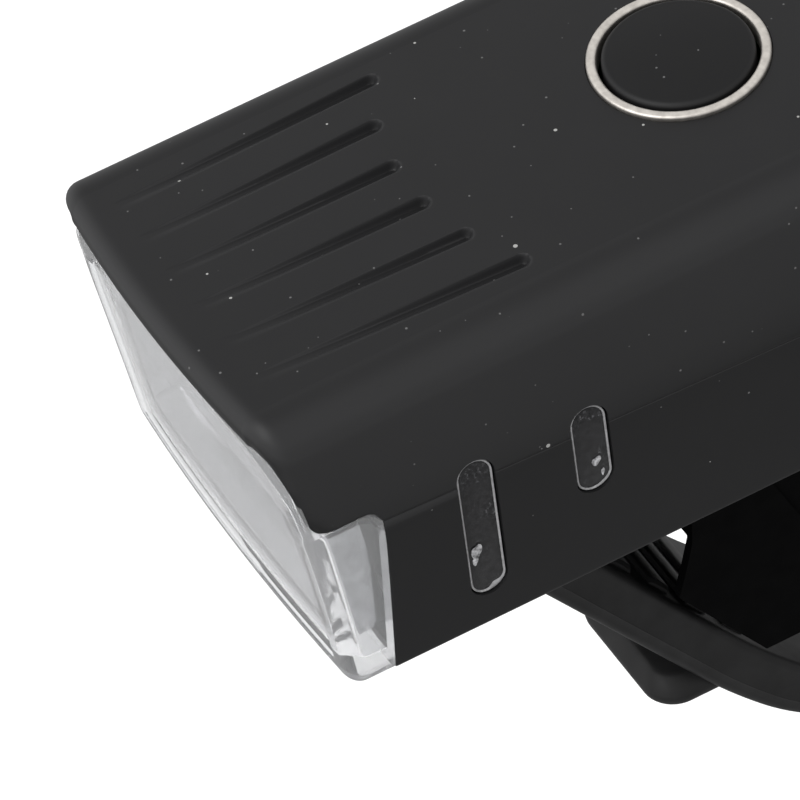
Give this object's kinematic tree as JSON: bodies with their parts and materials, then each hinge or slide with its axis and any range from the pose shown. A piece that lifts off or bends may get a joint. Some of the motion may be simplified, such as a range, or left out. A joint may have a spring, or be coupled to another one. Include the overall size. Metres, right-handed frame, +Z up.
{
  "type": "bike headlight",
  "caption": "Black rechargeable bicycle headlight with a hooded clear lens, a round ringed push button, side windows and a rubber-strap handlebar bracket.",
  "frame": {"origin": "on the handlebar axis, midway across the light", "axes": "+X across the light along the handlebar, +Y to the rear of the light so the beam leaves along -Y, +Z up"},
  "size_m": [0.04, 0.1027, 0.0786],
  "materials": {
    "soft_black": "soft-touch matt",
    "clear": "clear polycarbonate",
    "reflector": "bright vapour-coated",
    "ring_metal": "brushed",
    "black_rubber": "matt",
    "black_plastic": "fine texture",
    "steel": "plain",
    "aluminium": "extruded",
    "board": "solder mask",
    "white_board": "white solder mask",
    "phosphor": "emitter",
    "cell_wrap": "shrink film",
    "plain_plastic": "plain"
  },
  "bodies": {
    "bracket": {"bracket_base": "black_plastic", "saddle_pad": "black_rubber", "strap_pin": "steel", "lever_pin": "steel"},
    "head": {"top_cover": "soft_black", "lower_housing": "soft_black", "body_gasket": "black_rubber", "front_lens": "clear", "lens_gasket": "black_rubber", "reflector": "reflector", "led_board": "white_board", "led_emitter": "phosphor", "heat_sink": "aluminium", "side_windows_long": "clear", "side_windows_short": "clear", "button_ring": "ring_metal", "button_seal": "black_rubber", "tact_switch": "black_plastic", "main_board": "board", "board_screws": "steel", "battery_cell": "cell_wrap", "battery_cradle": "black_plastic", "usb_board": "board", "usb_port": "steel", "usb_hinge_pin": "steel", "housing_screws": "steel", "slide_shoe": "black_plastic", "shoe_screws": "steel"},
    "button": {"button_cap": "black_rubber"},
    "plunger": {"switch_plunger": "plain_plastic"},
    "flap": {"usb_cover": "black_rubber"},
    "strap_loop": {"strap": "black_rubber"},
    "latch": {"release_lever": "black_plastic"}
  },
  "joints": [
    {"name": "head_slide", "type": "slide", "parent": "bracket", "child": "head", "axis": [0, -1, 0], "range_m": [0, 0.03]},
    {"name": "button_press", "type": "slide", "parent": "head", "child": "button", "axis": [0, 0, -1], "range_m": [0, 0.0005], "stiffness_N_per_m": 900, "springref_m": -0.0006},
    {"name": "switch_press", "type": "slide", "parent": "head", "child": "plunger", "axis": [0, 0, -1], "range_m": [0, 0.0005]},
    {"name": "flap_open", "type": "hinge", "parent": "head", "child": "flap", "pos_m": [0, 0.0331, 0.0269], "axis": [-1, 0, 0], "range_deg": [0, 95]},
    {"name": "strap_swing", "type": "hinge", "parent": "bracket", "child": "strap_loop", "pos_m": [0, 0.024, 0.0087], "axis": [1, 0, 0], "range_deg": [0, 70]},
    {"name": "latch_press", "type": "hinge", "parent": "bracket", "child": "latch", "pos_m": [0, 0.022, 0.0173], "axis": [1, 0, 0], "range_deg": [0, 8], "stiffness_Nm_per_rad": 0.05, "springref_deg": -5.73}
  ],
  "couplings": [
    {"joint": "switch_press", "follows": "button_press", "ratio": 1}
  ]
}
